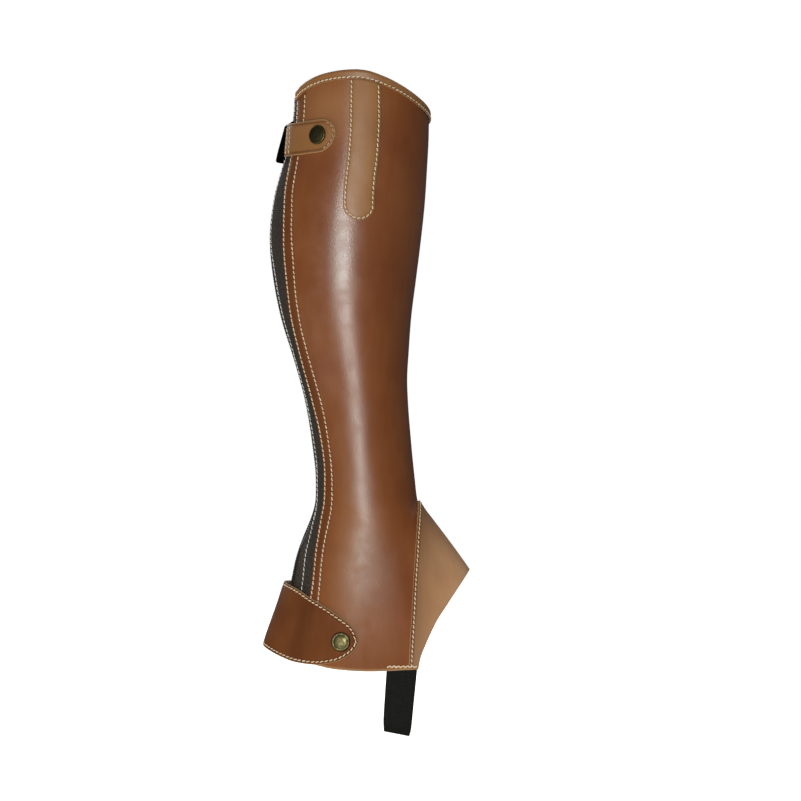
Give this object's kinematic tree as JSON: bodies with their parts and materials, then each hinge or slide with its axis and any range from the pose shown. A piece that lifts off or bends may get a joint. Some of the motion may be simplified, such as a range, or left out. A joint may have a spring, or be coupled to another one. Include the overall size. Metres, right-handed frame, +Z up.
{
  "type": "half chap",
  "caption": "Leather half chap for the right leg: a shaped tube from calf to instep with an elastic gusset, back zip, heel flap and a strap under the foot.",
  "frame": {"origin": "middle of the leg where the calf is widest, where the leather grips the wearer's calf", "axes": "+Z up the leg, +X to the toe, -Y to the outer side of the right leg"},
  "size_m": [0.1479, 0.1079, 0.4715],
  "materials": {
    "leather": "polished smooth brown",
    "trim_leather": "smooth tan",
    "gusset_elastic": "ribbed matte",
    "strap_elastic": "matte black webbing",
    "zip_tape": "matte twill",
    "zip_chain": "matte black coil",
    "brass": "antique, satin"
  },
  "bodies": {
    "root": {"lateral_panel": "leather", "medial_panel": "leather", "elastic_gusset": "gusset_elastic", "zip_tape_lateral": "zip_tape", "zip_tape_medial": "zip_tape", "zip_chain": "zip_chain", "zip_slider": "brass", "zip_pull": "brass", "top_binding": "trim_leather", "side_patch": "trim_leather", "snap_tab": "trim_leather", "tab_elastic": "strap_elastic", "snap_cap_top": "brass", "snap_cap_bottom": "brass", "heel_flap": "leather", "vamp": "trim_leather", "foot_strap": "strap_elastic"}
  },
  "joints": []
}
